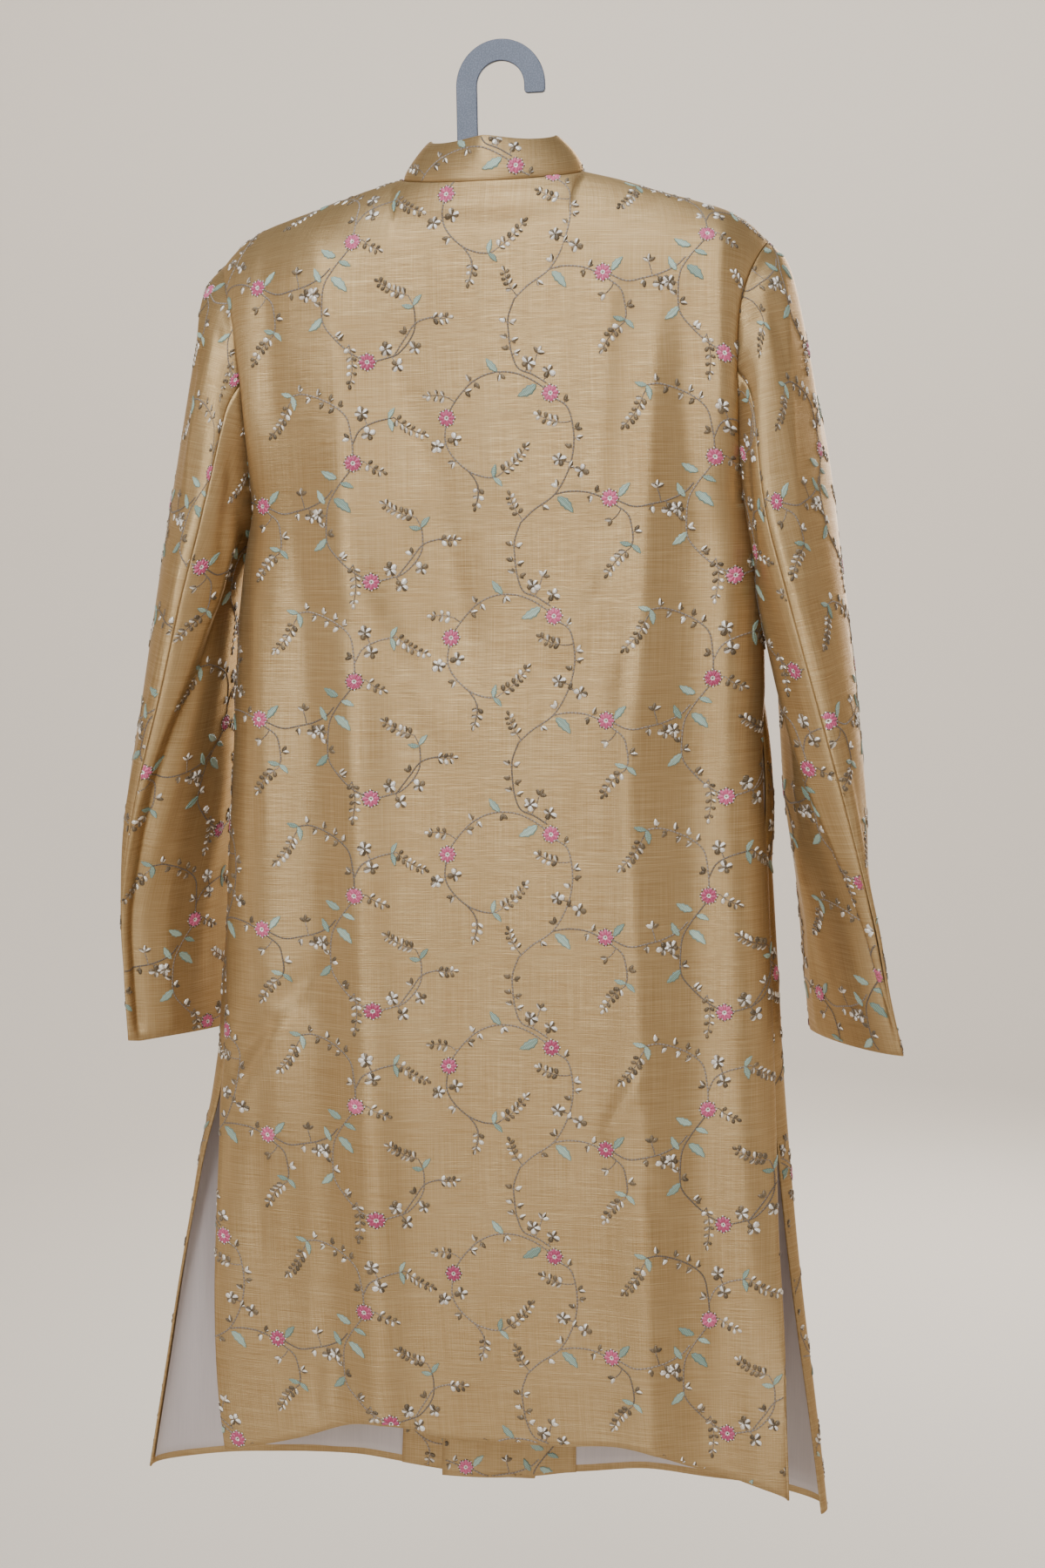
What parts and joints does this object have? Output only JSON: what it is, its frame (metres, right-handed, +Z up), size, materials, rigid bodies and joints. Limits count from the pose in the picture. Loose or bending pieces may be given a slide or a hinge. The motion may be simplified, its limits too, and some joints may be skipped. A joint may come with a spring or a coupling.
{
  "type": "sherwani coat on a hanger",
  "caption": "Long embroidered silk sherwani coat with a stand collar, lapped buttoned front, side slits and side pockets, hanging on a hanger with a flat hook.",
  "frame": {"origin": "top of the hook's inner curve, where a rail or peg carries the hanger", "axes": "+Z up, +Y from the back to the fronts, +X to the wearer's right"},
  "size_m": [0.6706, 0.1613, 1.2303],
  "materials": {
    "silk": "raw silk with a soft sheen, gold beige",
    "lining_satin": "smooth satin lining, grey mauve",
    "button_metal": "satin",
    "hook_grey": "fine specked grey coating",
    "hanger_body": "matte black"
  },
  "bodies": {
    "root": {"back": "silk", "front_left": "silk", "front_right": "silk", "facing_left": "silk", "facing_right": "silk", "sleeve_left_top": "silk", "sleeve_left_under": "silk", "sleeve_right_top": "silk", "sleeve_right_under": "silk", "collar": "silk", "lining_left": "lining_satin", "lining_right": "lining_satin", "pocket_left": "lining_satin", "pocket_right": "lining_satin", "button_1": "button_metal", "button_2": "button_metal", "button_3": "button_metal", "button_4": "button_metal", "button_5": "button_metal", "button_6": "button_metal", "button_7": "button_metal", "hanger_hook": "hook_grey", "hanger_bar": "hanger_body"}
  },
  "joints": []
}
